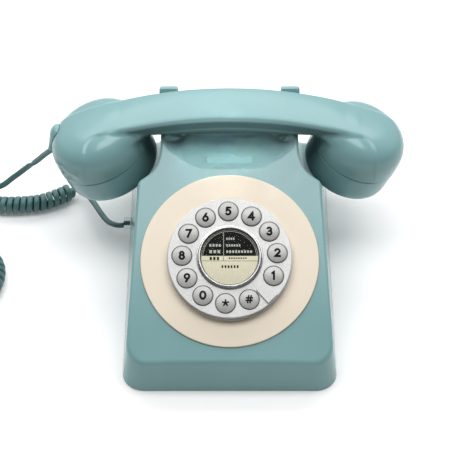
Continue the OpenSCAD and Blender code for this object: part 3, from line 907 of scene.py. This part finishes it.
# Centre button: its body, the card and the clear window over it
dial_piece(
    "redial_base",
    fillet(
        [(0, 2.7), (19.35, 2.7), (19.35, 4.1), (18.35, 4.1), (18.35, 7.2), (0, 7.2)],
        [0, 0.2, 0.2, 0, 0.2, 0], 3, False,
    ),
    WHITE, "redial", "redial_button", "white_plastic", sharp=40,
)
dial_piece(
    "redial_label",
    fillet([(0, 7.22), (18.15, 7.22), (18.15, CARD_TOP), (0, CARD_TOP)], [0, 0.05, 0.05, 0], 2, False),
    CARD, "redial", "redial_card", "printed_card", sharp=40,
)
dial_piece(
    "redial_window",
    fillet([(0, 7.62), (18.35, 7.62), (18.35, 8.3), (0, 8.4)], [0, 0.1, 0.4, 0], 5, False),
    LENS, "redial", "redial_lens", "clear_plastic", sharp=40,
)


def arc(cx, cy, rx, ry, a0, a1, n=18):
    """Points of an arc, angles in degrees."""
    turns = [math.radians(a) for a in np.linspace(a0, a1, n)]
    return [(cx + rx * math.cos(a), cy + ry * math.sin(a)) for a in turns]


def printed(outlines, base, height=0.06):
    return join_parts([slab(o, base, base + height) for o in outlines])


# Card: a dark upper part, a light line round it, rules, and rows of short bars where a real card has words
horizon = math.degrees(math.asin(0.8 / 18))
dark_part = arc(0, 0, 18.0, 18.0, horizon, 180 - horizon, 72)
v, f = printed([dark_part], CARD_TOP)
add_mesh("card_dark", v, f, INK, "redial", DIAL)


def bars(rows):
    """Rows of short bars, each row as its left end, foot, count, and a bar's width, height and gap."""
    out = []
    for u, v, count, width, height, gap in rows:
        starts = [u + i * (width + gap) for i in range(count)]
        out += [box_points(x, x + width, v, v + height) for x in starts]
    return out


line_out = arc(0, 0, 17.3, 17.3, 3, 177, 60)
line_in = arc(0, 0, 17.05, 17.05, 177, 3, 60)
pale = [line_out + line_in, box_points(-4.05, -3.75, 0.8, 16.9)]
pale += bars([
    (-13.0, 6.9, 4, 1.25, 1.7, 0.75), (-13.0, 2.6, 3, 1.7, 2.0, 0.9),
    (-2.2, 11.4, 4, 0.9, 1.5, 0.55), (-2.2, 7.0, 6, 1.0, 1.5, 0.6), (-2.2, 2.8, 9, 1.25, 1.6, 0.65),
])
v, f = printed(pale, CARD_TOP + 0.05)
add_mesh("card_light_print", v, f, PALE_INK, "redial", DIAL)
dark = [box_points(-17.9, 17.9, -2.65, -2.45), box_points(-4.05, -3.8, -2.5, 0.75)]
dark += bars([
    (-12.8, -2.0, 3, 1.4, 2.1, 0.9), (-0.6, -1.2, 8, 0.95, 0.9, 0.55), (-5.2, -7.2, 6, 1.1, 1.7, 0.85),
])
v, f = printed(dark, CARD_TOP + 0.01)
add_mesh("card_dark_print", v, f, INK, "redial", DIAL)

# Lines of the figures on the keys, on a square about one unit high
GLYPHS = {
    "0": [arc(0, 0, 0.29, 0.42, 90, 450, 40)],
    "1": [[(-0.17, 0.27), (0.03, 0.42), (0.03, -0.44)]],
    "2": [arc(0, 0.17, 0.25, 0.25, 165, -30, 22) + [(-0.24, -0.40), (0.29, -0.40)]],
    "3": [arc(-0.01, 0.21, 0.21, 0.21, 150, -90, 20) + arc(-0.01, -0.19, 0.25, 0.23, 80, -150, 22)],
    "4": [[(0.30, -0.19), (-0.31, -0.19), (0.13, 0.42), (0.13, -0.44)]],
    "5": [[(0.24, 0.40), (-0.15, 0.40), (-0.20, 0.04)] + arc(-0.03, -0.16, 0.27, 0.27, 125, -140, 24)],
    "6": [arc(0, -0.17, 0.26, 0.26, 135, 495, 32), [(-0.20, -0.02), (0.10, 0.44)]],
    "7": [[(-0.27, 0.40), (0.27, 0.40), (-0.10, -0.44)]],
    "8": [arc(0, 0.21, 0.20, 0.20, -90, 270, 28), arc(0, -0.20, 0.25, 0.23, 90, 450, 30)],
    "9": [arc(0, 0.17, 0.26, 0.26, -45, 315, 32), [(0.20, 0.02), (-0.10, -0.44)]],
    "star": [[(0, 0), (0.34 * math.sin(a), 0.34 * math.cos(a))] for a in np.arange(5) * 2 * math.pi / 5],
    "hash": [
        [(-0.20, -0.40), (-0.06, 0.40)], [(0.08, -0.40), (0.22, 0.40)],
        [(-0.33, 0.14), (0.36, 0.14)], [(-0.37, -0.15), (0.32, -0.15)],
    ],
}


def stroke(points, width, top):
    """A printed line with round ends, lying on the surface that top describes."""
    p = np.asarray(points, float)
    fine = [p[0]]
    for a, b in zip(p[:-1], p[1:]):
        k = max(1, int(np.hypot(*(b - a)) / 0.35))
        fine.extend(a + (b - a) * (i + 1) / k for i in range(k))
    p = np.array(fine)
    closed = np.allclose(p[0], p[-1])
    if closed:
        p = p[:-1]
    ahead = np.roll(p, -1, 0) - p
    behind = p - np.roll(p, 1, 0)
    if not closed:
        ahead[-1], behind[0] = behind[-1], ahead[0]
    t = unit(unit(ahead) + unit(behind))
    n = np.column_stack([-t[:, 1], t[:, 0]])
    square = np.column_stack([-unit(ahead)[:, 1], unit(ahead)[:, 0]])
    reach = 1 / np.maximum(0.5, (n * square).sum(1))
    n = n * reach[:, None]
    h = width / 2
    if closed:
        rims = [p + n * h, p - n * h]
        m = len(p)
        verts, faces = [], []
        for o in rims:
            z = np.array([top(x, y) for x, y in o])
            verts += [np.column_stack([o, z - 0.12]), np.column_stack([o, z])]
        for k in range(m):
            l = (k + 1) % m
            faces += [
                [m + k, m + l, 3 * m + l, 3 * m + k], [k, 2 * m + k, 2 * m + l, l],
                [k, l, m + l, m + k], [2 * m + k, 3 * m + k, 3 * m + l, 2 * m + l],
            ]
        return np.concatenate(verts), faces
    a0 = math.atan2(-t[0, 1], -t[0, 0])
    a1 = math.atan2(t[-1, 1], t[-1, 0])
    round_end = np.linspace(-math.pi / 2, math.pi / 2, 9)[1:-1]
    caps = [
        [p[end] + h * np.array([math.cos(a + w), math.sin(a + w)]) for w in round_end]
        for end, a in ((0, a0), (-1, a1))
    ]
    outline = list(p + n * h)[::-1] + caps[0] + list(p - n * h) + caps[1]
    o = np.array(outline)
    m, c0 = len(p), len(caps[0])
    z = np.array([top(x, y) for x, y in o])
    verts = np.concatenate([np.column_stack([o, z - 0.12]), np.column_stack([o, z])])
    total = len(o)
    left = [m - 1 - k for k in range(m)]
    right = [m + c0 + k for k in range(m)]
    lids = [[left[k], right[k], right[k + 1], left[k + 1]] for k in range(m - 1)]
    lids.append([left[0]] + list(range(m, m + c0)) + [right[0]])
    lids.append([right[-1]] + list(range(2 * m + c0, total)) + [left[-1]])
    faces = []
    for q in lids:
        faces.append([i + total for i in q])
        faces.append(q[::-1])
    faces += [[(k + 1) % total, k, k + total, (k + 1) % total + total] for k in range(total)]
    return verts, faces


def key_top(x, y):
    """Height of a key's slightly domed top."""
    return KEY_TOP - (x * x + y * y) / 48


key_edge = fillet(
    [(6.9, 2.6), (6.9, 4.5), (KEY_RADIUS, 4.5), (KEY_RADIUS, 7.95)], [0.1, 0.1, 0, 0.45], 5, False,
)
dome = [(r, key_top(r, 0)) for r in np.linspace(5.7, 0, 12)]
key_profile = [(0, 2.6)] + key_edge[:-1] + [(KEY_RADIUS, 7.5), (6.08, 7.72), (5.92, 7.86)] + dome
for i, k in enumerate(KEYS):
    m = key_frame(i)
    v, f = lathe(key_profile, 64)
    add_mesh("button_" + k, v, f, KEYCAP, "key_" + k, m, 40, ("key_" + k,), "key_plastic")
    thick = 1.4 if k not in ("hash", "star") else 1.05
    lines = [[(x * FIGURE_SIZE, y * FIGURE_SIZE) for x, y in line] for line in GLYPHS[k]]
    marks = [stroke(line, thick, lambda x, y: key_top(x, y) + 0.045) for line in lines]
    v, f = join_parts(marks)
    add_mesh("figure_" + k, v, f, INK, "key_" + k, m, 50)

# ---------------------------------------------------------------- handset


def ridge(x):
    """Height of the handle's top along it."""
    return RIDGE_Z - RIDGE_BEND * x * x - 0.0035 * np.maximum(np.abs(x) - 66, 0) ** 2


def quarter(r, h, power, rho, z):
    """Approximate distance to a rounded bowl outline, from its radius and height."""
    q = (np.maximum(rho, 1e-6) / r) ** power + (np.maximum(z, 1e-6) / h) ** power
    f = q ** (1 / power)
    gx = (np.maximum(rho, 1e-6) / r) ** (power - 1) / r
    gz = (np.maximum(z, 1e-6) / h) ** (power - 1) / h
    g = np.hypot(gx, gz) * np.maximum(f, 1e-3) ** (1 - power)
    return (f - 1) / np.maximum(g, 1 / (2.0 * max(r, h)))


def bar_field(x, y, z, drop):
    """The handle, its top lowered by drop."""
    ax = np.abs(x)
    across = np.abs(y - HANDLE_Y)
    top = ridge(ax) - drop - 0.0035 * across**2
    up = (z - top) / np.sqrt(1 + (2 * RIDGE_BEND * ax) ** 2)
    half = 15.3 - 0.32 * np.maximum(ridge(ax) - 4 - z, 0)
    sides = (across - half) * 0.955
    end = ax - 92
    d = both(up, sides, 2.2)
    d = both(d, 93 - z, 3.0)
    return both(d, end, 8)


def cup_field(side, x, y, z):
    """One cup, a rounded bowl above and straight below."""
    u, v, w = local(cup_frame(side), x, y, z)
    rho = np.hypot(u, v)
    above = quarter(cup_radius(side), 25, 3.5, rho, w)
    below = np.maximum(rho - cup_radius(side), -w - 4)
    return np.where(w > 0, above, below)


# A shallow groove low on the mouthpiece's side
DENT = cup_frame(-1) @ turn("z", math.radians(228)) @ shift(35.0, 0, 6.5) @ turn("z", math.radians(90))


def handset_field(x, y, z):
    """Cups and handle in one, with the handle's top carried over the cups as a slightly raised band."""
    cups = np.minimum(cup_field(-1, x, y, z), cup_field(1, x, y, z))
    low = bar_field(x, y, z, 11)
    d = either(low, cups, 11)
    d = either(d, bar_field(x, y, z, 0), 2)
    ax = np.abs(x)
    edge = both(either(36.2 - y, 95 - ax, 9), y - 65.8, 1)
    proud = 0.8 * ease((z - 70) / 16)
    d = either(d, both(cups - proud, edge, 1.5), 1.0)
    u, v, w = local(DENT, x, y, z)
    dent = np.sqrt((u / 8.5) ** 2 + (v / 3.2) ** 2 + (w / 3.0) ** 2)
    return without(d, (dent - 1) * 3, 2.0)


verts, faces = surface(handset_field, (-123, 14, 48), (123, 88, 115), 1.0)
handset = add_mesh(
    "handset_shell", verts, faces, HANDLE_PAINTED_SHADE, "handset",
    replaces=("handset_body",), slot="teal_plastic",
)
cuts = []
for s in (-1, 1):
    v, f = cutter_box(-45, 45, -45, 45, -40, 0.12)
    cuts.append((place(cup_frame(s), v), f))
cut(handset, cuts)
finish_mesh(handset, 32)


def squared(r, h, power, n=28):
    """A quarter of a squared-off oval, from the rim down to the axis."""
    a = np.linspace(0, math.pi / 2, n)
    return [(r * max(0, math.cos(t)) ** (2 / power), -h * max(0, math.sin(t)) ** (2 / power)) for t in a]


for s, node, name in ((-1, "mouthpiece_cap", "mouthpiece_cover"), (1, "earpiece_cap", "earpiece_cover")):
    r = cup_radius(s)
    outer = squared(r, CAP_DEPTH, 5.4)
    inner = squared(r - CAP_WALL, CAP_DEPTH - CAP_WALL, 5.4)[::-1]
    rim = [(r - CAP_WALL, -0.3), (r - 0.7, -0.3), (r - 0.25, -0.42), (r, -0.75)]
    outer = [p for p in outer if p[1] < -0.8]
    inner = [p for p in inner if p[1] < -0.4]
    profile = [(0, CAP_WALL - CAP_DEPTH)] + inner[1:] + rim + outer[:-1] + [(0, -CAP_DEPTH)]
    v, f = lathe(profile, 112)
    cap = add_mesh(name, v, f, CAP_PAINTED_SHADE, "handset", cup_frame(s), 35, (node,), "teal_plastic")
    # Sound holes: one in the middle and two rings of six and twelve
    holes = [cutter_post(0, 0, 1, -26, -18, 16)]
    for k in (1, 2):
        for j in range(6 * k):
            a = math.radians(60 / k * j)
            holes.append(cutter_post(5 * k * math.cos(a), 5 * k * math.sin(a), 1, -26, -18, 16))
    cut(cap, [(place(cup_frame(s), v), f) for v, f in holes])
    finish_mesh(cap, 35)


def boot_field(x, y, z):
    """The cord's boot on the side of the mouthpiece."""
    lump = np.sqrt(((x + 115.6) / 5.4) ** 2 + ((y - 57.0) / 8.0) ** 2 + ((z - 74.5) / 9.5) ** 2)
    lump = (lump - 1) * 5.4
    a, b = np.array([-117.0, 55.0, 73.5]), np.array([-119.3, 51.6, 69.4])
    d = b - a
    t = np.clip(((x - a[0]) * d[0] + (y - a[1]) * d[1] + (z - a[2]) * d[2]) / (d @ d), 0, 1)
    dx, dy, dz = x - a[0] - t * d[0], y - a[1] - t * d[1], z - a[2] - t * d[2]
    near = np.sqrt(dx**2 + dy**2 + dz**2)
    collar = near - (3.6 - 1.1 * t) + 0.28 * np.cos((z - 71) * 2 * math.pi / 1.5) * ease((74 - z) / 2)
    return without(either(lump, collar, 1.5), handset_field(x, y, z) - 0.05, 0.1)


verts, faces = surface(boot_field, (-123, 43, 63), (-104, 68, 93), 0.55, 1)
boot = add_mesh(
    "cord_boot", verts, faces, TEAL, "handset",
    replaces=("handset_strain_relief",), slot="cord_rubber",
)

# ---------------------------------------------------------------- floor and light


def floor_material():
    """A pale matt floor with painted light: a slight glow of its own that lightens the shadows on it, and
    a painted pool of light, its colour darker far from the telephone.
    """
    mat = bpy.data.materials.new("floor")
    mat.use_nodes = True
    nodes, links = mat.node_tree.nodes, mat.node_tree.links
    shader = nodes["Principled BSDF"]
    shader.inputs["Roughness"].default_value = 0.9
    shader.inputs["Specular IOR Level"].default_value = 0.1
    # Painted light: a slight glow, though the floor is no lamp, that lightens the shadows on it.
    shader.inputs["Emission Color"].default_value = (1, 1, 1, 1)
    shader.inputs["Emission Strength"].default_value = 0.10
    tone = nodes.new("ShaderNodeTexNoise")
    tone.inputs["Scale"].default_value = 3
    ramp = nodes.new("ShaderNodeValToRGB")
    ramp.color_ramp.elements[0].color = (0.90, 0.90, 0.90, 1)
    ramp.color_ramp.elements[1].color = (0.93, 0.93, 0.93, 1)
    links.new(tone.outputs["Fac"], ramp.inputs["Fac"])
    # Painted pool of light: the floor's colour darkens between 0.28 m and 0.65 m from the telephone.
    where = nodes.new("ShaderNodeTexCoord")
    far = nodes.new("ShaderNodeVectorMath")
    far.operation = "LENGTH"
    links.new(where.outputs["Object"], far.inputs[0])
    painted_falloff = map_range(nodes, 0.28, 0.65, 0, 0.65)
    painted_falloff.interpolation_type = "SMOOTHSTEP"
    links.new(far.outputs["Value"], painted_falloff.inputs["Value"])
    colour = colour_mix(mat.node_tree, painted_falloff.outputs["Result"], ramp.outputs["Color"], (0.20, 0.20, 0.205))
    links.new(colour, shader.inputs["Base Color"])
    return mat


floor_mesh = bpy.data.meshes.new("floor")
floor_mesh.from_pydata([(-6, -6, 0), (6, -6, 0), (6, 6, 0), (-6, 6, 0)], [], [(0, 1, 2, 3)])
floor_mesh.materials.append(floor_material())
floor = bpy.data.objects.new("floor", floor_mesh)
scene.collection.objects.link(floor)


def soft_box(name, at, aim, size, watts):
    """A rectangular lamp at one point, aimed at another."""
    data = bpy.data.lights.new(name, "AREA")
    data.shape = "RECTANGLE"
    data.size, data.size_y = size
    data.energy = watts
    lamp = bpy.data.objects.new(name, data)
    lamp.location = at
    scene.collection.objects.link(lamp)
    look = mathutils.Vector(aim) - mathutils.Vector(at)
    lamp.rotation_euler = look.to_track_quat("-Z", "Y").to_euler()
    return lamp


# Lamps: one over the case, one behind it for the handle's top, and a narrow one into the recess
soft_box("overhead", (0.0, 0.06, 1.25), (0, 0.06, 0), (1.5, 0.6), 14.5)
soft_box("rear", (0.0, 1.25, 1.30), (0, 0.0, 0.08), (2.8, 0.7), 18)
snoot = soft_box("snoot", (0.0, -0.55, 1.0), (0, 0.030, 0.085), (0.06, 0.02), 0.0072)
snoot.data.spread = math.radians(3.6)
# The surroundings are brighter towards the rear
world = bpy.data.worlds.new("world")
world.use_nodes = True
sky = world.node_tree
where = sky.nodes.new("ShaderNodeTexCoord")
split = sky.nodes.new("ShaderNodeSeparateXYZ")
back = map_range(sky.nodes, -0.1, 0.8, 0.12, 0.75)
back.interpolation_type = "SMOOTHSTEP"
sky.links.new(where.outputs["Generated"], split.inputs["Vector"])
sky.links.new(split.outputs["Y"], back.inputs["Value"])
sky.links.new(back.outputs["Result"], sky.nodes["Background"].inputs["Strength"])
sky.nodes["Background"].inputs["Color"].default_value = (1, 1, 1, 1)
scene.world = world
scene.view_settings.view_transform = "Standard"
scene.view_settings.look = "None"
